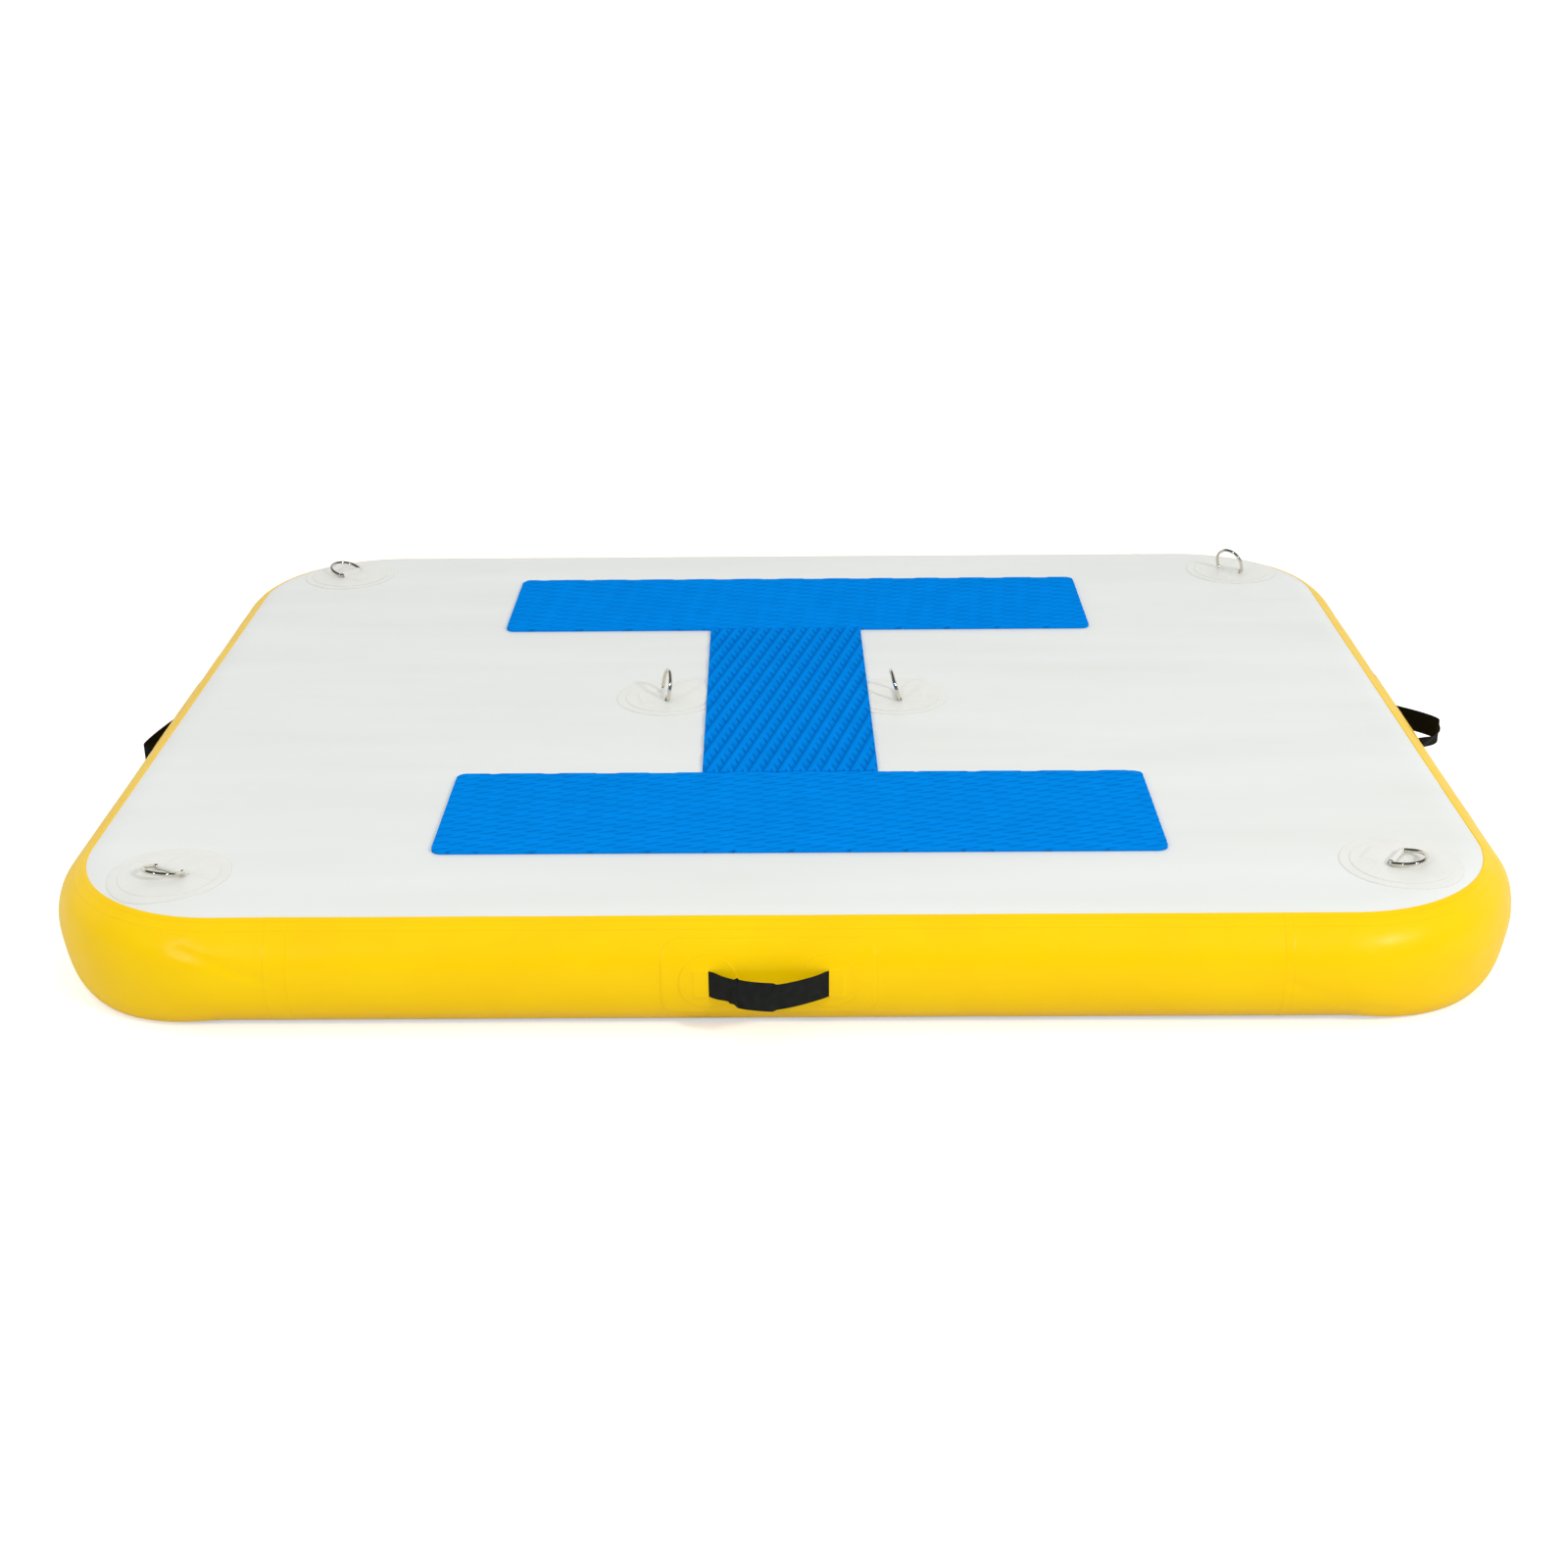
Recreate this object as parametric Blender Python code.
"""Inflatable swim dock: a drop-stitch platform with foam pads, ring patches and carry handles.

Units are metres and +Z is up. X runs along the length, Y from the front (-Y) to the rear (+Y).
The origin is on the ground under the middle of the platform.
"""

import math

import bmesh
import bpy
from mathutils import Matrix, Vector

# Platform
PLATFORM_LENGTH = 2.44
PLATFORM_DEPTH = 1.975
PLATFORM_THICKNESS = 0.200
DECK_CORNER_RADIUS = 0.220
SKIN_SHEET = 0.0012
WALL_SHEET = 0.0012
TAPE_SHEET = 0.0006
SEAT_GAP = 0.0003
CUT_OVERRUN = 0.004

# Facets of the round side: the wall starts at WALL_EDGE from straight up
CORNER_STEPS = 8
WALL_EDGE = math.radians(25.5)
WALL_FACETS = 12
LAP_FACETS = 1
TAPE_STEP_ANGLE = math.radians(0.6)

# Drop-stitch core
CLOTH_SHEET = 0.0008
CLOTH_INSET = 0.010
THREAD_POST = 0.006
THREAD_EDGE = 0.090
THREAD_COUNT_X = 8
THREAD_COUNT_Y = 6

# Foam pads: insets are from the platform's edge, shifts from its middle
PAD_THICKNESS = 0.006
LONG_PAD_LENGTH = 1.228
LONG_PAD_DEPTH = 0.332
LONG_PAD_INSET = 0.2675
LONG_PAD_SHIFT = 0.025
LONG_PAD_CORNER = 0.018
CENTRE_PAD_WIDTH = 0.314
CENTRE_PAD_SHIFT = 0.0015
CENTRE_PAD_CORNER = 0.003
PAD_JOINT_GAP = 0.001
PAD_CORNER_STEPS = 4

# Ring patches: insets are from the platform's edge, and from the centre pad for the middle ones
PATCH_SHEET = 0.0009
BASE_DISC_RADIUS = 0.100
COVER_DISC_RADIUS = 0.083
DISC_STEPS = 36
DISC_LOOP_SHARES = (1.0, 0.84, 0.68)
DRAPE_GAP = 0.0006
END_RING_INSET = 0.218
SIDE_RING_INSET = 0.2085
MIDDLE_RING_INSET = 0.0645
HAND_LAY = 0.020

# Rings: the wire, its straight bar and its bow
RING_WIRE = 0.007
RING_INNER_WIDTH = 0.055
RING_HEIGHT = 0.049
RING_CORNER = 0.005
RING_BOW_STEPS = 12
WIRE_SIDES = 8
RING_PLAY = 0.0005
KEEPER_WIDTH = 0.050
KEEPER_TAIL = 0.050
KEEPER_STEPS = 8
KEEPER_ROLL = math.radians(155)
KEEPER_FOOT_RUN = 0.0031

# Carry handles, measured along the wall and out from its surface
HANDLE_PATCH_MARGIN = 0.076
HANDLE_PATCH_HEIGHT = 0.140
HANDLE_PATCH_CORNER = 0.030
HANDLE_PATCH_RISE = 0.0045
END_PATCH_RADIUS = 0.048
GRIP_CHORD = 0.188
WEBBING_WIDTH = 0.044
WEBBING_SHEET = 0.0018
WEBBING_TAIL = 0.022
EMBOSS_MARGIN = 0.006
ROOT_RUN = 0.0135
ROOT_CLEAR_SHARE = 0.35
HINGE_STANDOFF = 0.014
END_STRAP_STANDOFF = 0.044
SIDE_STRAP_STANDOFF = 0.076
FRONT_HANDLE_SHIFT = -0.020
SIDE_HANDLE_SHIFT = 0.042
STRAP_STEPS = 16
ROOT_STEPS = 5
ARCH_POWER = 2.3
ROOT_POWER = 1.6
PATCH_CORNER_STEPS = 6

# Inflation valve in the rear wall
VALVE_INSET = 0.600
VALVE_FLANGE_RADIUS = 0.031
VALVE_FLANGE_HEIGHT = 0.006
VALVE_BARREL_RADIUS = 0.0185
VALVE_BORE_RADIUS = 0.014
VALVE_BARREL_DEPTH = 0.045
VALVE_HOLE_PLAY = 0.0008
VALVE_NUT_RADIUS = 0.027
VALVE_NUT_HEIGHT = 0.010
VALVE_HUB_RADIUS = 0.005
VALVE_HUB_HEIGHT = 0.005
VALVE_HUB_DEPTH = 0.024
VALVE_SPOKE = 0.0025
VALVE_SPOKES = 3
PLUNGER_STEM_RADIUS = 0.0025
PLUNGER_BUTTON_RADIUS = 0.0055
PLUNGER_BUTTON_DEPTH = 0.007
PLUNGER_BUTTON_HEIGHT = 0.004
PLUNGER_SEAL_RADIUS = 0.017
PLUNGER_SEAL_HEIGHT = 0.003
PLUNGER_PLAY = 0.0005
CAP_RADIUS = 0.027
CAP_HEIGHT = 0.005
CAP_SKIRT_HEIGHT = 0.005
CAP_SKIRT_WALL = 0.002
VALVE_STEPS = 20

# Worked out from the sizes above
SKIN_RADIUS = PLATFORM_THICKNESS / 2
WALL_INNER_RADIUS = SKIN_RADIUS + SEAT_GAP
WALL_RADIUS = WALL_INNER_RADIUS + WALL_SHEET
FLAT_X = PLATFORM_LENGTH / 2 - WALL_RADIUS
FLAT_Y = PLATFORM_DEPTH / 2 - WALL_RADIUS
WALL_STEP = (math.pi - 2 * WALL_EDGE) / WALL_FACETS
LONG_PAD_SPREAD = (PLATFORM_DEPTH - LONG_PAD_DEPTH) / 2 - LONG_PAD_INSET
CORNER_RING_X = PLATFORM_LENGTH / 2 - END_RING_INSET
CORNER_RING_Y = PLATFORM_DEPTH / 2 - SIDE_RING_INSET
MIDDLE_RING_X = CENTRE_PAD_WIDTH / 2 + MIDDLE_RING_INSET
VALVE_SHIFT = PLATFORM_LENGTH / 2 - VALVE_INSET
RING_HALF = (RING_INNER_WIDTH + RING_WIRE) / 2
KEEPER_RADIUS = RING_WIRE / 2 + RING_PLAY + PATCH_SHEET / 2
BASE_DISC_TOP = DRAPE_GAP + PATCH_SHEET
RING_AXIS_HEIGHT = BASE_DISC_TOP + SEAT_GAP + PATCH_SHEET / 2 + KEEPER_RADIUS
END_PATCH_LIFT = SEAT_GAP + PATCH_SHEET + SEAT_GAP
ROOT_LIFT = END_PATCH_LIFT + WEBBING_SHEET / 2
HANDLE_PATCH_LENGTH = GRIP_CHORD + 2 * HANDLE_PATCH_MARGIN
HINGE_REACH = WALL_RADIUS + HINGE_STANDOFF
HINGE_HALF = GRIP_CHORD / 2 - ROOT_RUN

# Rings: corner signs, hand-laid shifts of the station and, from it, of the discs as shares of HAND_LAY,
# bow heading and rest tilt in degrees
RINGS = {
    "front_left": {
        "signs": (-1, -1), "lay_shares": (0.225, -0.25), "disc_shares": (-0.05, -0.3),
        "heading": -118, "tilt": 17,
    },
    "front_right": {
        "signs": (1, -1), "lay_shares": (0.0, 0.95), "disc_shares": (0.35, -0.35),
        "heading": -33, "tilt": 9,
    },
    "rear_left": {
        "signs": (-1, 1), "lay_shares": (0.35, 0.15), "disc_shares": (-0.05, -0.15),
        "heading": 145, "tilt": 15,
    },
    "rear_right": {
        "signs": (1, 1), "lay_shares": (-0.05, -0.75), "disc_shares": (0.25, 0.7),
        "heading": 49, "tilt": 107,
    },
    "middle_left": {
        "signs": (-1, 0), "lay_shares": (-0.6, -0.2), "disc_shares": (0.25, 0.15),
        "heading": 13, "tilt": 80,
    },
    "middle_right": {
        "signs": (1, 0), "lay_shares": (-0.1, -0.4), "disc_shares": (-0.2, 0.2),
        "heading": 183, "tilt": 74,
    },
}

# Handles: outward direction in degrees from +Y, shift along the wall and strap reach
HANDLES = {
    "front": {"turn": 180, "shift": FRONT_HANDLE_SHIFT, "standoff": END_STRAP_STANDOFF},
    "rear": {"turn": 0, "shift": FRONT_HANDLE_SHIFT, "standoff": END_STRAP_STANDOFF},
    "left": {"turn": 90, "shift": SIDE_HANDLE_SHIFT, "standoff": SIDE_STRAP_STANDOFF},
    "right": {"turn": -90, "shift": SIDE_HANDLE_SHIFT, "standoff": SIDE_STRAP_STANDOFF},
}


# Scene helpers

def clear_scene():
    """Remove every object, so that the script gives the same model each time."""
    for obj in list(bpy.data.objects):
        bpy.data.objects.remove(obj, do_unlink=True)


def srgb_to_linear(channel):
    """Return the linear value of one sRGB channel from 0 to 1."""
    if channel <= 0.04045:
        return channel / 12.92
    return ((channel + 0.055) / 1.055) ** 2.4


def make_material(name, colour, roughness, metallic=0.0):
    """Return a Principled material with an sRGB hex colour."""
    material = bpy.data.materials.new(name)
    material.use_nodes = True
    shader = material.node_tree.nodes["Principled BSDF"]
    channels = [srgb_to_linear(int(colour[i:i + 2], 16) / 255) for i in (1, 3, 5)]
    shader.inputs["Base Color"].default_value = (*channels, 1.0)
    shader.inputs["Roughness"].default_value = roughness
    shader.inputs["Metallic"].default_value = metallic
    material.diffuse_color = (*channels, 1.0)
    return material


def mesh_from(bm, name):
    """Turn a bmesh into a mesh with its faces pointing out."""
    bmesh.ops.recalc_face_normals(bm, faces=bm.faces)
    mesh = bpy.data.meshes.new(name)
    bm.to_mesh(mesh)
    bm.free()
    return mesh


def add_object(name, mesh, material, parent=None, location=(0, 0, 0), rotation=(0, 0, 0)):
    """Link an object with its mesh, material and place."""
    obj = bpy.data.objects.new(name, mesh)
    bpy.context.collection.objects.link(obj)
    obj.location = location
    obj.rotation_euler = rotation
    obj.parent = parent
    if material is not None:
        mesh.materials.clear()
        mesh.materials.append(material)
    mesh.shade_smooth()
    mesh.set_sharp_from_angle(angle=math.radians(35))
    return obj


def add_empty(name, location, turn):
    """Link an empty that carries the pieces of one station."""
    empty = bpy.data.objects.new(name, None)
    bpy.context.collection.objects.link(empty)
    empty.location = location
    empty.rotation_euler = (0, 0, turn)
    return empty


def add_cutter(name, mesh, parent=None):
    """Link a guide object that only shapes its neighbours."""
    cutter = add_object(name, mesh, None, parent)
    cutter.hide_render = True
    cutter.display_type = "WIRE"
    return cutter


def add_boolean(obj, cutter, operation):
    """Add a Boolean modifier with the exact solver."""
    modifier = obj.modifiers.new(cutter.name, "BOOLEAN")
    modifier.operation = operation
    modifier.solver = "EXACT"
    modifier.object = cutter


def combined(mesh, steps, name):
    """Return a mesh after a list of (operation, tool mesh) Boolean steps."""
    work = bpy.data.objects.new(name, mesh)
    bpy.context.collection.objects.link(work)
    tools = []
    for index, (operation, tool_mesh) in enumerate(steps):
        tool = bpy.data.objects.new(name + "_tool_" + str(index), tool_mesh)
        bpy.context.collection.objects.link(tool)
        tools.append(tool)
        add_boolean(work, tool, operation)
    bpy.context.view_layer.update()
    result = bpy.data.meshes.new_from_object(work.evaluated_get(bpy.context.evaluated_depsgraph_get()))
    result.name = name
    for obj in [work] + tools:
        bpy.data.objects.remove(obj, do_unlink=True)
    return result


# Shape helpers

def add_loop(bm, points):
    """Add one loop of vertices."""
    return [bm.verts.new(point) for point in points]


def bridge(bm, first, second):
    """Join two loops of equal length with quads."""
    count = len(first)
    for i in range(count):
        j = (i + 1) % count
        bm.faces.new((first[i], first[j], second[j], second[i]))


def skinned(sections, cyclic=False):
    """Return a bmesh skinned over closed sections, capped unless it is cyclic."""
    bm = bmesh.new()
    loops = [add_loop(bm, section) for section in sections]
    for first, second in zip(loops, loops[1:]):
        bridge(bm, first, second)
    if cyclic:
        bridge(bm, loops[-1], loops[0])
    else:
        bm.faces.new(loops[0])
        bm.faces.new(loops[-1])
    return bm


def sheet(loops):
    """Return a flat bmesh from outer to inner loops, its middle filled."""
    bm = bmesh.new()
    rings = [add_loop(bm, loop) for loop in loops]
    for first, second in zip(rings, rings[1:]):
        bridge(bm, first, second)
    bm.faces.new(rings[-1])
    return bm


def thick_sheet(flat, place):
    """Return a closed bmesh over a flat one: place(point, level) gives level 0 below and 1 above."""
    solid = bmesh.new()
    lower = {vert: solid.verts.new(place(vert.co, 0)) for vert in flat.verts}
    upper = {vert: solid.verts.new(place(vert.co, 1)) for vert in flat.verts}
    for face in flat.faces:
        solid.faces.new([upper[vert] for vert in face.verts])
        solid.faces.new([lower[vert] for vert in reversed(face.verts)])
    for edge in flat.edges:
        if len(edge.link_faces) == 1:
            a, b = edge.verts
            solid.faces.new((lower[a], lower[b], upper[b], upper[a]))
    flat.free()
    return solid


def arc_points(centre, radius, start, end, steps):
    """Return points on an arc in the XY plane, both ends included."""
    points = []
    for i in range(steps + 1):
        angle = start + (end - start) * i / steps
        points.append((centre[0] + radius * math.cos(angle), centre[1] + radius * math.sin(angle)))
    return points


def rounded_rectangle(half_x, half_y, radius, steps):
    """Return the outline of a rounded rectangle about the origin."""
    points = []
    for quarter, (sign_x, sign_y) in enumerate(((1, 1), (-1, 1), (-1, -1), (1, -1))):
        centre = (sign_x * (half_x - radius), sign_y * (half_y - radius))
        start = quarter * math.pi / 2
        points += arc_points(centre, radius, start, start + math.pi / 2, steps)
    return points


def circle_points(radius, steps):
    """Return a circle's points about the origin, as pairs."""
    return arc_points((0, 0), radius, 0, 2 * math.pi * (steps - 1) / steps, steps - 1)


def flat_loop(points, height=0.0):
    """Lift a list of pairs to points at one height."""
    return [(x, y, height) for x, y in points]


def slab_mesh(outline, bottom, thickness, name):
    """Return a prism mesh over an outline."""
    flat = sheet([flat_loop(outline)])
    solid = thick_sheet(flat, lambda co, level: (co.x, co.y, bottom + level * thickness))
    return mesh_from(solid, name)


def strip_sections(path, thickness, width, normals=None):
    """Return rectangular sections along a path of pairs, with the width along the third axis."""
    sections = []
    for i, point in enumerate(path):
        before = Vector(path[max(i - 1, 0)])
        after = Vector(path[min(i + 1, len(path) - 1)])
        along = (after - before).normalized()
        side = Vector((-along.y, along.x)) * thickness / 2
        if normals and normals[i] is not None:
            side = Vector(normals[i]) * thickness / 2
        low = Vector(point) - side
        high = Vector(point) + side
        sections.append(((low.x, low.y, -width / 2), (high.x, high.y, -width / 2),
                         (high.x, high.y, width / 2), (low.x, low.y, width / 2)))
    return sections


def turned_sections(profile, steps):
    """Return circles about the Y axis for a profile of (place along Y, radius) pairs."""
    unit = circle_points(1, steps)
    return [[(radius * x, along, radius * z) for x, z in unit] for along, radius in profile]


# Hull: the flat deck, its round edge and the wall over it

def deck_outline(offset):
    """Return the plan outline at a distance out from the flat deck."""
    return rounded_rectangle(FLAT_X + offset, FLAT_Y + offset, DECK_CORNER_RADIUS + offset, CORNER_STEPS)


def hull_loop(radius, angle):
    """Return the plan loop of the round edge at an angle from straight up."""
    return flat_loop(deck_outline(radius * math.sin(angle)), SKIN_RADIUS + radius * math.cos(angle))


def wall_angle(index):
    """Return the angle of a ridge between two facets of the wall."""
    return WALL_EDGE + index * WALL_STEP


def skin_mesh(name, mirrored):
    """Return a panel sheet whose rim wraps round the edge and runs under the wall."""
    angles = [0, WALL_EDGE / 2, WALL_EDGE, wall_angle(LAP_FACETS)]
    outer = [hull_loop(SKIN_RADIUS, angle) for angle in angles]
    inner = [hull_loop(SKIN_RADIUS - SKIN_SHEET, angle) for angle in reversed(angles)]
    bm = skinned(outer + inner)
    if mirrored:
        for vert in bm.verts:
            vert.co.z = PLATFORM_THICKNESS - vert.co.z
    return mesh_from(bm, name)


def wall_mesh():
    """Return the side wall: a round strip, thicker along both laps where it is taped."""
    last = WALL_FACETS - LAP_FACETS
    outer = []
    for index in range(WALL_FACETS + 1):
        angle = wall_angle(index)
        taped = index <= LAP_FACETS or index >= last
        radius = WALL_RADIUS + (TAPE_SHEET if taped else 0)
        if index == last:
            outer.append(hull_loop(WALL_RADIUS, angle - TAPE_STEP_ANGLE))
        outer.append(hull_loop(radius, angle))
        if index == LAP_FACETS:
            outer.append(hull_loop(WALL_RADIUS, angle + TAPE_STEP_ANGLE))
    inner = [hull_loop(WALL_INNER_RADIUS, wall_angle(i)) for i in range(WALL_FACETS, -1, -1)]
    return mesh_from(skinned(outer + inner, cyclic=True), "side_wall")


def wall_prism(radius, half_length, name):
    """Return a faceted bar that fills the round side of the hull along a straight wall."""
    half_facets = WALL_FACETS // 2
    angles = [index * WALL_STEP for index in range(-half_facets, half_facets + 1)]
    outline = [(radius * math.cos(angle), radius * math.sin(angle)) for angle in angles]
    sections = [[(x, y, z) for y, z in outline] for x in (-half_length, half_length)]
    return mesh_from(skinned(sections), name)


def core_mesh():
    """Return the two base cloths joined by posts that stand for the drop threads."""
    inset = -CLOTH_INSET
    outline = rounded_rectangle(FLAT_X + inset, FLAT_Y + inset, DECK_CORNER_RADIUS + inset, PAD_CORNER_STEPS)
    low = SKIN_SHEET + SEAT_GAP
    high = PLATFORM_THICKNESS - low
    cloths = bmesh.new()
    for bottom in (low, high - CLOTH_SHEET):
        cloths.from_mesh(slab_mesh(outline, bottom, CLOTH_SHEET, "cloth"))
    posts = bmesh.new()
    half = THREAD_POST / 2
    square = [(-half, -half), (half, -half), (half, half), (-half, half)]
    for column in range(THREAD_COUNT_X):
        for row in range(THREAD_COUNT_Y):
            x = (FLAT_X - THREAD_EDGE) * (2 * column / (THREAD_COUNT_X - 1) - 1)
            y = (FLAT_Y - THREAD_EDGE) * (2 * row / (THREAD_COUNT_Y - 1) - 1)
            outline = [(x + dx, y + dy) for dx, dy in square]
            height = high - low - CLOTH_SHEET
            posts.from_mesh(slab_mesh(outline, low + CLOTH_SHEET / 2, height, "post"))
    steps = [("UNION", mesh_from(posts, "thread_posts"))]
    return combined(mesh_from(cloths, "base_cloths"), steps, "drop_stitch_core")


def build_hull(materials):
    """Build both skins, the side wall and the drop-stitch core."""
    add_object("top_skin", skin_mesh("top_skin", False), materials["white_pvc"])
    add_object("bottom_skin", skin_mesh("bottom_skin", True), materials["grey_pvc"])
    add_object("drop_stitch_core", core_mesh(), materials["thread"])
    return add_object("side_wall", wall_mesh(), materials["yellow_pvc"])


# Foam pads on the deck

def add_pad(name, half_x, half_y, corner, place, material):
    """Add one foam pad with a small chamfer round its rim."""
    outline = rounded_rectangle(half_x, half_y, corner, PAD_CORNER_STEPS)
    pad = add_object(name, slab_mesh(outline, 0, PAD_THICKNESS, name), material)
    pad.location = (place[0], place[1], PLATFORM_THICKNESS + SEAT_GAP)
    bevel = pad.modifiers.new("rim", "BEVEL")
    bevel.width = PAD_THICKNESS / 4
    bevel.segments = 1
    bevel.limit_method = "ANGLE"
    bevel.angle_limit = math.radians(60)


def build_pads(materials):
    """Build the two long pads and the centre pad that butts against both."""
    foam = materials["blue_eva"]
    half_x = LONG_PAD_LENGTH / 2
    half_y = LONG_PAD_DEPTH / 2
    for name, side in (("front_pad", -1), ("rear_pad", 1)):
        add_pad(name, half_x, half_y, LONG_PAD_CORNER, (LONG_PAD_SHIFT, side * LONG_PAD_SPREAD), foam)
    centre_half_y = LONG_PAD_SPREAD - half_y - PAD_JOINT_GAP
    place = (CENTRE_PAD_SHIFT, 0)
    add_pad("centre_pad", CENTRE_PAD_WIDTH / 2, centre_half_y, CENTRE_PAD_CORNER, place, foam)


# Ring patches: two discs, a folded keeper strap and a ring that turns in it

def deck_point(station, point, lift):
    """Return a station's point laid over the deck and its round edge, lifted along the normal."""
    world = station @ Vector((point.x, point.y, 0))
    core_x = abs(world.x) - (FLAT_X - DECK_CORNER_RADIUS)
    core_y = abs(world.y) - (FLAT_Y - DECK_CORNER_RADIUS)
    reach = Vector((max(core_x, 0), max(core_y, 0)))
    past_flat = max(reach.length - DECK_CORNER_RADIUS, 0)
    angle = math.asin(min(past_flat / SKIN_RADIUS, 1))
    outward = Vector((math.copysign(reach.x, world.x), math.copysign(reach.y, world.y), 0)).normalized()
    normal = outward * math.sin(angle) + Vector((0, 0, math.cos(angle)))
    surface = Vector((world.x, world.y, SKIN_RADIUS + SKIN_RADIUS * math.cos(angle)))
    return station.inverted() @ (surface + normal * lift)


def disc_mesh(name, station, centre, radius, lift, pad_edge):
    """Return a disc laid over the deck about a centre, cut straight where a pad covers it."""
    if pad_edge is not None and abs(pad_edge - centre[0]) < radius:
        cut = math.acos((pad_edge - centre[0]) / radius)
        start, end = (cut, 2 * math.pi - cut) if pad_edge > 0 else (-cut, cut)
        loops = [arc_points(centre, radius, start, end, DISC_STEPS)]
    else:
        loops = [
            [(centre[0] + x, centre[1] + y) for x, y in circle_points(radius * share, DISC_STEPS)]
            for share in DISC_LOOP_SHARES
        ]
    back = station.to_3x3().inverted()
    loops = [[(back @ Vector((x, y, 0))).xy for x, y in loop] for loop in loops]
    flat = sheet([flat_loop(loop) for loop in loops])
    solid = thick_sheet(flat, lambda co, level: deck_point(station, co, lift + level * PATCH_SHEET))
    return mesh_from(solid, name)


def keeper_mesh():
    """Return the strap folded round the ring's bar, its two tails lying on the base disc."""
    low = BASE_DISC_TOP + SEAT_GAP + PATCH_SHEET / 2
    high = low + PATCH_SHEET + SEAT_GAP
    roll = arc_points((0, RING_AXIS_HEIGHT), KEEPER_RADIUS, -math.pi / 2, KEEPER_ROLL, KEEPER_STEPS)
    foot = (roll[-1][0] - KEEPER_FOOT_RUN, high)
    path = [(-KEEPER_TAIL, low)] + roll + [foot, (-KEEPER_TAIL, high)]
    sections = strip_sections(path, PATCH_SHEET, KEEPER_WIDTH)
    return mesh_from(skinned([[(u, w, v) for u, v, w in section] for section in sections]), "keeper")


def window_mesh():
    """Return the cutter for the window that the keeper takes in a cover disc."""
    half_y = KEEPER_WIDTH / 2 + SEAT_GAP
    front = KEEPER_RADIUS + PATCH_SHEET / 2 + SEAT_GAP
    back = -KEEPER_TAIL - SEAT_GAP
    outline = [(back, -half_y), (front, -half_y), (front, half_y), (back, half_y)]
    return slab_mesh(outline, -CUT_OVERRUN, 2 * CUT_OVERRUN, "keeper_window")


def ring_path():
    """Return the wire's centre line: a straight bar along Y at X = 0, two legs and a round bow."""
    leg = RING_HEIGHT - RING_HALF
    inner = RING_HALF - RING_CORNER
    path = arc_points((RING_CORNER, inner), RING_CORNER, math.pi, math.pi / 2, 2)
    path += arc_points((leg, 0), RING_HALF, math.pi / 2, -math.pi / 2, RING_BOW_STEPS)
    path += arc_points((RING_CORNER, -inner), RING_CORNER, -math.pi / 2, -math.pi, 2)
    return path


def ring_mesh():
    """Return the ring as a round wire swept along its closed centre line."""
    path = [Vector(point) for point in ring_path()]
    unit = circle_points(RING_WIRE / 2, WIRE_SIDES)
    sections = []
    for i, point in enumerate(path):
        along = (path[(i + 1) % len(path)] - path[i - 1]).normalized()
        side = Vector((along.y, -along.x))
        sections.append([(point.x + side.x * u, point.y + side.y * u, v) for u, v in unit])
    return mesh_from(skinned(sections, cyclic=True), "ring")


def ring_place(spec):
    """Return a ring station's place on the deck: its nominal place and its hand-laid shift."""
    nominal_x = CORNER_RING_X if spec["signs"][1] else MIDDLE_RING_X
    x = spec["signs"][0] * nominal_x + spec["lay_shares"][0] * HAND_LAY
    y = spec["signs"][1] * CORNER_RING_Y + spec["lay_shares"][1] * HAND_LAY
    return (x, y, PLATFORM_THICKNESS)


def pad_edge_at(spec, place):
    """Return where along X from a middle station its discs end at the centre pad."""
    if spec["signs"][1]:
        return None
    sign = spec["signs"][0]
    return CENTRE_PAD_SHIFT + sign * (CENTRE_PAD_WIDTH / 2 + SEAT_GAP) - place[0]


def build_rings(materials):
    """Build the six ring patches, each at its own station."""
    keeper = keeper_mesh()
    ring = ring_mesh()
    window = window_mesh()
    for name, spec in RINGS.items():
        place = ring_place(spec)
        turn = math.radians(spec["heading"])
        station = Matrix.Translation(place) @ Matrix.Rotation(turn, 4, "Z")
        edge = pad_edge_at(spec, place)
        centre = [share * HAND_LAY for share in spec["disc_shares"]]
        empty = add_empty(name + "_station", place, turn)
        base = disc_mesh(name + "_base_disc", station, centre, BASE_DISC_RADIUS, DRAPE_GAP, edge)
        add_object(name + "_base_disc", base, materials["white_pvc"], empty)
        lift = BASE_DISC_TOP + SEAT_GAP
        cover = disc_mesh(name + "_cover_disc", station, centre, COVER_DISC_RADIUS, lift, edge)
        cover_disc = add_object(name + "_cover_disc", cover, materials["white_pvc"], empty)
        add_boolean(cover_disc, add_cutter(name + "_window", window, empty), "DIFFERENCE")
        add_object(name + "_keeper", keeper, materials["white_pvc"], empty)
        tilt = (0, -math.radians(spec["tilt"]), 0)
        add_object(name + "_ring", ring, materials["stainless"], empty, (0, 0, RING_AXIS_HEIGHT), tilt)


# Carry handles: shapes wrapped round the wall, in a frame of X along it and Y out of it

def wrap_point(along, arc, lift):
    """Return the point at an arc length round the wall, lifted off its facets."""
    angle = arc / WALL_RADIUS
    middle = (math.floor(angle / WALL_STEP) + 0.5) * WALL_STEP
    radius = (WALL_RADIUS + lift) * math.cos(WALL_STEP / 2) / math.cos(angle - middle)
    return Vector((along, radius * math.cos(angle), radius * math.sin(angle)))


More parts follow.
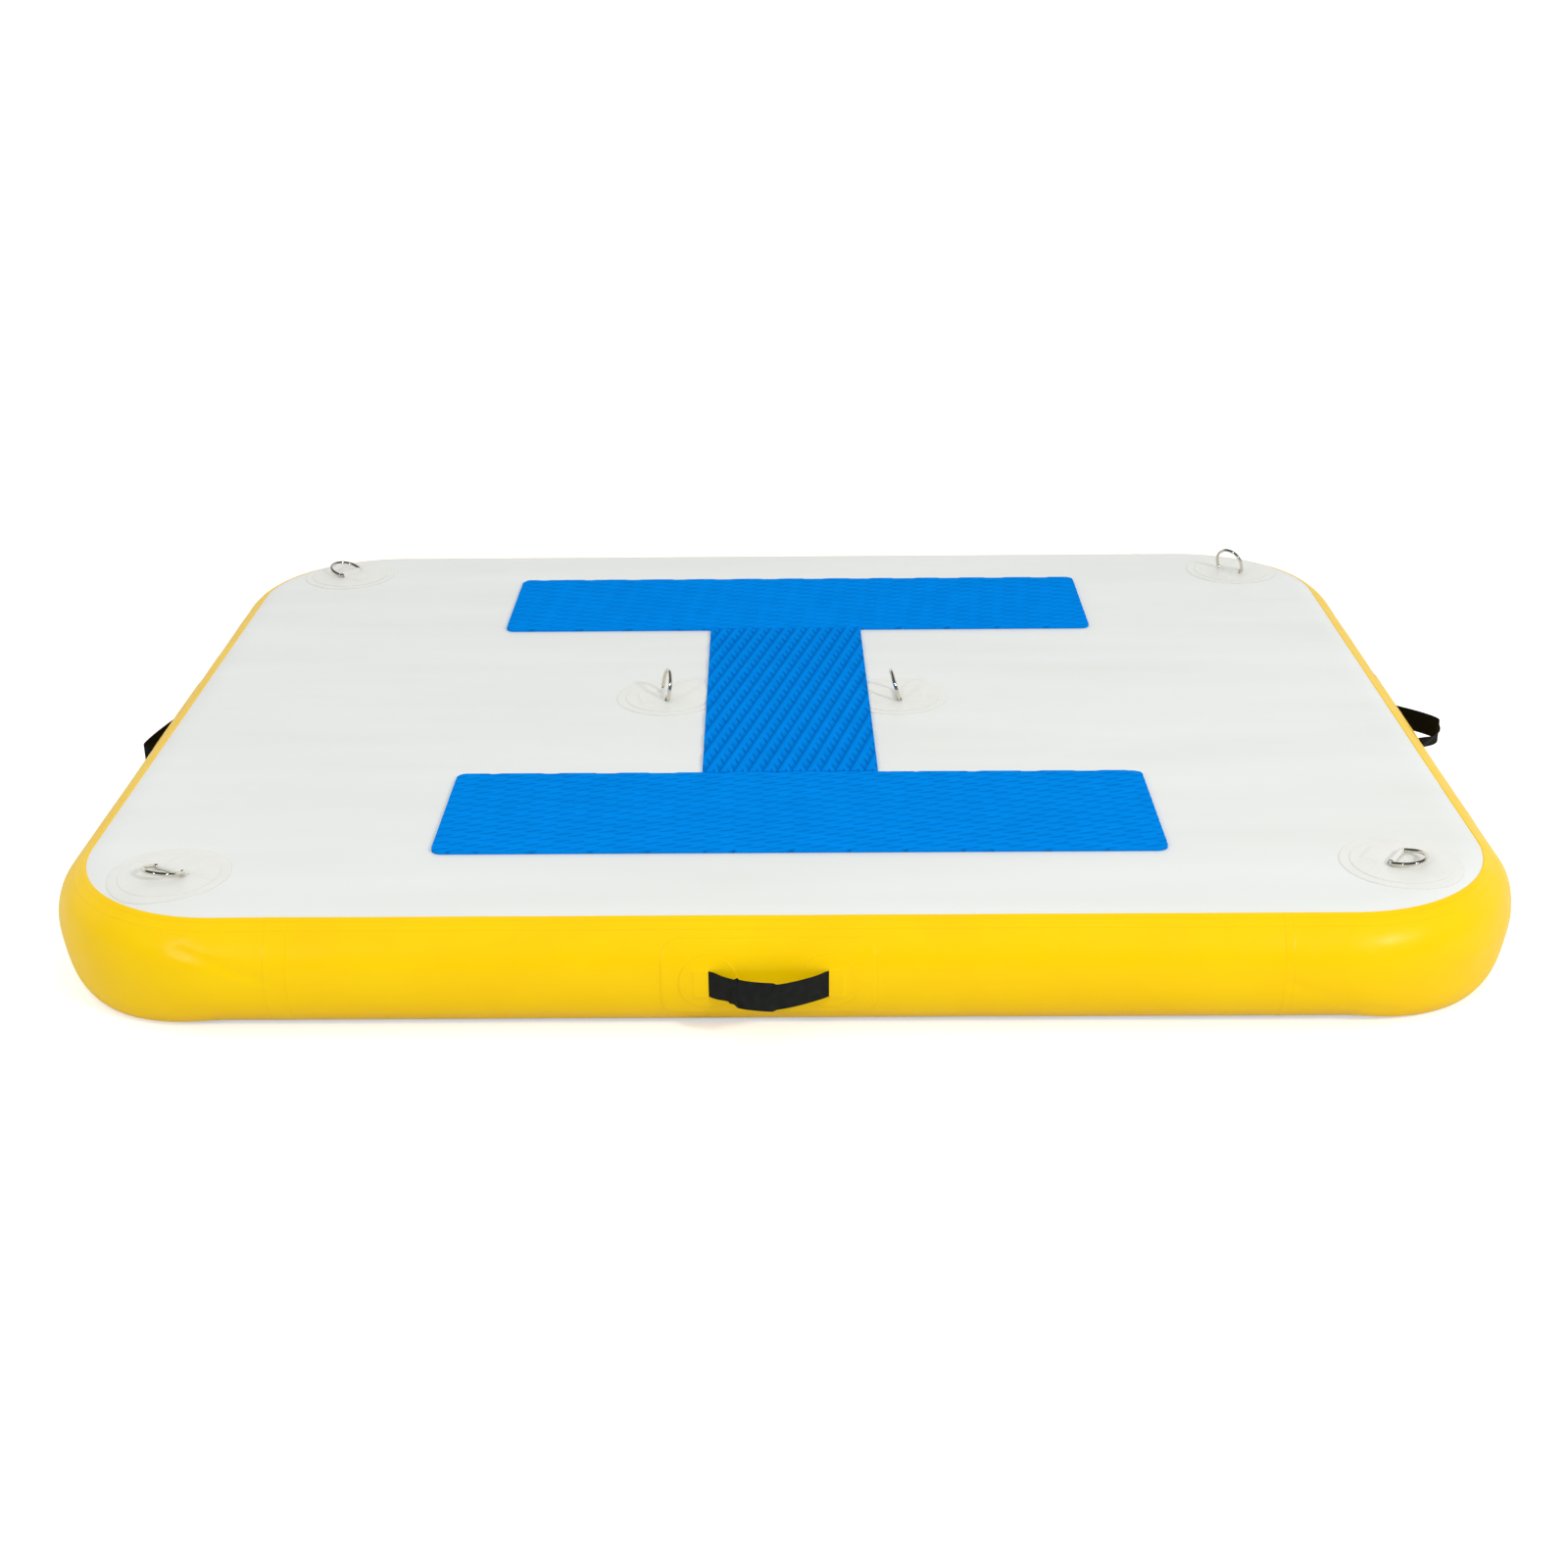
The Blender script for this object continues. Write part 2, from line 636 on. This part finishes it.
def wrapped_mesh(outline, lift, thickness, name):
    """Return a sheet wrapped round the wall, creased where the wall's facets meet."""
    flat = sheet([flat_loop(outline)])
    half_facets = WALL_FACETS // 2
    for index in range(-half_facets, half_facets + 1):
        ridge = (0, index * WALL_STEP * WALL_RADIUS, 0)
        geometry = flat.verts[:] + flat.edges[:] + flat.faces[:]
        bmesh.ops.bisect_plane(flat, geom=geometry, plane_co=ridge, plane_no=(0, 1, 0))
    solid = thick_sheet(flat, lambda co, level: wrap_point(co.x, co.y, lift + level * thickness))
    return mesh_from(solid, name)


def handle_patch_mesh():
    """Return the rounded base patch of a handle."""
    half_x = HANDLE_PATCH_LENGTH / 2
    half_y = HANDLE_PATCH_HEIGHT / 2
    outline = rounded_rectangle(half_x, half_y, HANDLE_PATCH_CORNER, PATCH_CORNER_STEPS)
    outline = [(x, y + HANDLE_PATCH_RISE) for x, y in outline]
    return wrapped_mesh(outline, SEAT_GAP, PATCH_SHEET, "handle_patch")


def box_outline(low_x, high_x, half_y):
    """Return a rectangle's outline between two X values."""
    return [(low_x, -half_y), (high_x, -half_y), (high_x, half_y), (low_x, half_y)]


def end_patch_mesh():
    """Return a round end patch, raised over the webbing's tail and slit where the webbing leaves."""
    slit = -GRIP_CHORD / 2
    tail = slit - WEBBING_TAIL
    disc = [(x + slit, y) for x, y in circle_points(END_PATCH_RADIUS, DISC_STEPS)]
    plain = wrapped_mesh(disc, END_PATCH_LIFT, PATCH_SHEET, "end_patch")
    roof_outline = box_outline(tail - EMBOSS_MARGIN, slit, WEBBING_WIDTH / 2 + EMBOSS_MARGIN)
    pocket_top = WEBBING_SHEET + SEAT_GAP
    half_sheet = PATCH_SHEET / 2
    roof = wrapped_mesh(roof_outline, END_PATCH_LIFT + half_sheet, pocket_top + half_sheet, "roof")
    mouth = slit + ROOT_CLEAR_SHARE * ROOT_RUN
    pocket_outline = box_outline(tail - SEAT_GAP, mouth, WEBBING_WIDTH / 2 + SEAT_GAP)
    pocket = wrapped_mesh(pocket_outline, END_PATCH_LIFT - CUT_OVERRUN, CUT_OVERRUN + pocket_top, "pocket")
    return combined(plain, [("UNION", roof), ("DIFFERENCE", pocket)], "end_patch")


def root_mesh():
    """Return a webbing end: flat under its end patch, then rising to the strap's hinge line."""
    slit = -GRIP_CHORD / 2
    climb = HINGE_STANDOFF - ROOT_LIFT
    run = ROOT_RUN - SEAT_GAP
    path = [(slit - WEBBING_TAIL, 0)]
    for i in range(ROOT_STEPS + 1):
        path.append((slit + run * i / ROOT_STEPS, climb * (i / ROOT_STEPS) ** ROOT_POWER))
    slope = ROOT_POWER * climb / run
    ridge = WALL_STEP * WALL_RADIUS
    half = WEBBING_WIDTH / 2
    arcs = [-half, -ridge, 0, ridge, half]
    sections = []
    for i, (along, rise) in enumerate(path):
        before = Vector(path[max(i - 1, 0)])
        after = Vector(path[min(i + 1, len(path) - 1)])
        direction = (after - before).normalized()
        side = Vector((-direction.y, direction.x))
        if i == len(path) - 1:
            side = Vector((0, math.hypot(1, slope)))
        points = []
        for offset, order in ((-WEBBING_SHEET / 2, arcs), (WEBBING_SHEET / 2, arcs[::-1])):
            for arc in order:
                x = along + side.x * offset
                lift = ROOT_LIFT + rise + side.y * offset
                straight = Vector((x, WALL_RADIUS + lift, arc))
                points.append(straight.lerp(wrap_point(x, arc, lift), 1 - rise / climb))
        sections.append(points)
    return mesh_from(skinned(sections), "handle_root")


def strap_mesh(standoff):
    """Return the free strap about its hinge line: an arch that stands off the wall."""
    half = HINGE_HALF - SEAT_GAP
    rise = standoff - HINGE_STANDOFF
    path = []
    for i in range(STRAP_STEPS + 1):
        share = 2 * i / STRAP_STEPS - 1
        path.append((half * share, rise * (1 - abs(share) ** ARCH_POWER)))
    slope = ARCH_POWER * rise / half
    normals = [None] * len(path)
    normals[0] = normals[-1] = (0, math.hypot(1, slope))
    return mesh_from(skinned(strip_sections(path, WEBBING_SHEET, WEBBING_WIDTH, normals)), "handle_strap")


def wall_place(turn, shift):
    """Return the place on the round edge's centre line that faces a direction, moved along the wall."""
    outward = Vector((-math.sin(turn), math.cos(turn), 0))
    along = Vector((abs(outward.y), abs(outward.x), 0))
    centre = Vector((outward.x * FLAT_X, outward.y * FLAT_Y, SKIN_RADIUS))
    return centre + along * shift


def build_handles(materials):
    """Build the four carry handles, each at its own station."""
    patch = handle_patch_mesh()
    end_patch = end_patch_mesh()
    root = root_mesh()
    straps = {reach: strap_mesh(reach) for reach in (END_STRAP_STANDOFF, SIDE_STRAP_STANDOFF)}
    for name, spec in HANDLES.items():
        turn = math.radians(spec["turn"])
        empty = add_empty(name + "_handle_station", wall_place(turn, spec["shift"]), turn)
        add_object(name + "_handle_patch", patch, materials["yellow_pvc"], empty)
        for letter, flip in (("a", 0), ("b", math.pi)):
            rotation = (0, flip, 0)
            add_object(name + "_handle_end_patch_" + letter, end_patch, materials["yellow_pvc"], empty,
                       rotation=rotation)
            add_object(name + "_handle_root_" + letter, root, materials["webbing"], empty, rotation=rotation)
        strap = straps[spec["standoff"]]
        add_object(name + "_handle_strap", strap, materials["webbing"], empty, (0, HINGE_REACH, 0))


# Inflation valve: its frame is X along the rear wall and Y out of it

def valve_flange_mesh():
    """Return the flange with its back cut to the wall."""
    middle = (VALVE_BORE_RADIUS + VALVE_BARREL_RADIUS) / 2
    back = WALL_RADIUS - VALVE_FLANGE_HEIGHT
    front = WALL_RADIUS + VALVE_FLANGE_HEIGHT
    rim = VALVE_FLANGE_HEIGHT / 4
    profile = [(back, middle), (back, VALVE_FLANGE_RADIUS), (front - rim, VALVE_FLANGE_RADIUS),
               (front, VALVE_FLANGE_RADIUS - rim), (front, middle)]
    ring = mesh_from(skinned(turned_sections(profile, VALVE_STEPS), cyclic=True), "flange_ring")
    prism = wall_prism(WALL_RADIUS + SEAT_GAP, VALVE_FLANGE_RADIUS + CUT_OVERRUN, "flange_seat")
    return combined(ring, [("DIFFERENCE", prism)], "flange")


def valve_barrel_mesh():
    """Return the barrel, open at both ends."""
    back = WALL_RADIUS - VALVE_BARREL_DEPTH
    front = WALL_RADIUS + VALVE_FLANGE_HEIGHT - SEAT_GAP
    profile = [(back, VALVE_BORE_RADIUS), (back, VALVE_BARREL_RADIUS), (front, VALVE_BARREL_RADIUS),
               (front, VALVE_BORE_RADIUS)]
    return mesh_from(skinned(turned_sections(profile, VALVE_STEPS), cyclic=True), "barrel")


def valve_hub_mesh():
    """Return the hub that guides the plunger's stem."""
    centre = WALL_RADIUS - VALVE_HUB_DEPTH
    bore = PLUNGER_STEM_RADIUS + PLUNGER_PLAY
    half = VALVE_HUB_HEIGHT / 2
    profile = [(centre - half, bore), (centre - half, VALVE_HUB_RADIUS), (centre + half, VALVE_HUB_RADIUS),
               (centre + half, bore)]
    return mesh_from(skinned(turned_sections(profile, VALVE_STEPS), cyclic=True), "hub")


def valve_spokes_mesh():
    """Return the spokes between the hub and the barrel."""
    inner = (PLUNGER_STEM_RADIUS + PLUNGER_PLAY + VALVE_HUB_RADIUS) / 2
    outer = (VALVE_BORE_RADIUS + VALVE_BARREL_RADIUS) / 2
    half = VALVE_SPOKE / 2
    centre = WALL_RADIUS - VALVE_HUB_DEPTH
    spokes = bmesh.new()
    for index in range(VALVE_SPOKES):
        turn = Matrix.Rotation(2 * math.pi * index / VALVE_SPOKES, 3, "Y")
        outline = [(inner, -half), (outer, -half), (outer, half), (inner, half)]
        sections = [[turn @ Vector((x, centre + side * half, z)) for x, z in outline] for side in (-1, 1)]
        spokes.from_mesh(mesh_from(skinned(sections), "spoke"))
    return mesh_from(spokes, "spokes")


def valve_nut_mesh():
    """Return the nut that clamps the valve from inside, its face cut to the wall."""
    back = WALL_INNER_RADIUS - VALVE_NUT_HEIGHT
    bore = VALVE_BARREL_RADIUS + SEAT_GAP
    profile = [(back, bore), (back, VALVE_NUT_RADIUS), (WALL_RADIUS, VALVE_NUT_RADIUS), (WALL_RADIUS, bore)]
    ring = mesh_from(skinned(turned_sections(profile, VALVE_STEPS), cyclic=True), "nut_ring")
    prism = wall_prism(WALL_INNER_RADIUS - SEAT_GAP, VALVE_FLANGE_RADIUS + CUT_OVERRUN, "nut_seat")
    return combined(ring, [("INTERSECT", prism)], "valve_nut")


def valve_plunger_mesh():
    """Return the plunger: a seal behind the barrel, its stem and the button in the mouth."""
    seal_front = WALL_RADIUS - VALVE_BARREL_DEPTH - SEAT_GAP
    button_back = WALL_RADIUS - PLUNGER_BUTTON_DEPTH
    profile = [(seal_front - PLUNGER_SEAL_HEIGHT, PLUNGER_SEAL_RADIUS), (seal_front, PLUNGER_SEAL_RADIUS),
               (seal_front, PLUNGER_STEM_RADIUS), (button_back, PLUNGER_STEM_RADIUS),
               (button_back, PLUNGER_BUTTON_RADIUS),
               (button_back + PLUNGER_BUTTON_HEIGHT, PLUNGER_BUTTON_RADIUS)]
    return mesh_from(skinned(turned_sections(profile, VALVE_STEPS)), "valve_plunger")


def valve_cap_mesh():
    """Return the cap: a disc on the flange and a skirt inside the mouth."""
    seat = WALL_RADIUS + VALVE_FLANGE_HEIGHT + SEAT_GAP
    skirt_outer = VALVE_BORE_RADIUS - SEAT_GAP
    skirt_inner = skirt_outer - CAP_SKIRT_WALL
    rim = CAP_HEIGHT / 4
    skirt_end = seat - CAP_SKIRT_HEIGHT
    top = seat + CAP_HEIGHT
    profile = [(seat, skirt_inner), (skirt_end, skirt_inner), (skirt_end, skirt_outer), (seat, skirt_outer),
               (seat, CAP_RADIUS), (top - rim, CAP_RADIUS), (top, CAP_RADIUS - rim)]
    return mesh_from(skinned(turned_sections(profile, VALVE_STEPS)), "valve_cap")


def valve_hole_mesh():
    """Return the cutter for the valve's hole in the wall."""
    radius = VALVE_BARREL_RADIUS + VALVE_HOLE_PLAY
    profile = [(WALL_INNER_RADIUS - VALVE_BARREL_RADIUS, radius), (WALL_RADIUS + VALVE_BARREL_RADIUS, radius)]
    return mesh_from(skinned(turned_sections(profile, VALVE_STEPS)), "valve_hole")


def build_valve(materials, side_wall):
    """Build the valve and its hole in the rear wall."""
    empty = add_empty("valve_station", wall_place(0, VALVE_SHIFT), 0)
    add_boolean(side_wall, add_cutter("valve_hole", valve_hole_mesh(), empty), "DIFFERENCE")
    steps = [("UNION", mesh) for mesh in (valve_barrel_mesh(), valve_hub_mesh(), valve_spokes_mesh())]
    body = combined(valve_flange_mesh(), steps, "valve_body")
    add_object("valve_body", body, materials["valve_plastic"], empty)
    add_object("valve_nut", valve_nut_mesh(), materials["valve_plastic"], empty)
    add_object("valve_plunger", valve_plunger_mesh(), materials["valve_plastic"], empty)
    add_object("valve_cap", valve_cap_mesh(), materials["valve_plastic"], empty)


def main():
    """Build the whole dock."""
    clear_scene()
    materials = {
        "white_pvc": make_material("white_pvc", "#E6E8E6", 0.45),
        "grey_pvc": make_material("grey_pvc", "#A9ADB0", 0.45),
        "yellow_pvc": make_material("yellow_pvc", "#FDC50A", 0.35),
        "thread": make_material("thread", "#E9E7DF", 0.8),
        "blue_eva": make_material("blue_eva", "#057CD8", 0.6),
        "stainless": make_material("stainless", "#C9CBCC", 0.15, 1.0),
        "webbing": make_material("webbing", "#17191A", 0.75),
        "valve_plastic": make_material("valve_plastic", "#8C9094", 0.4),
    }
    side_wall = build_hull(materials)
    build_pads(materials)
    build_rings(materials)
    build_handles(materials)
    build_valve(materials, side_wall)


if __name__ == "__main__":
    main()
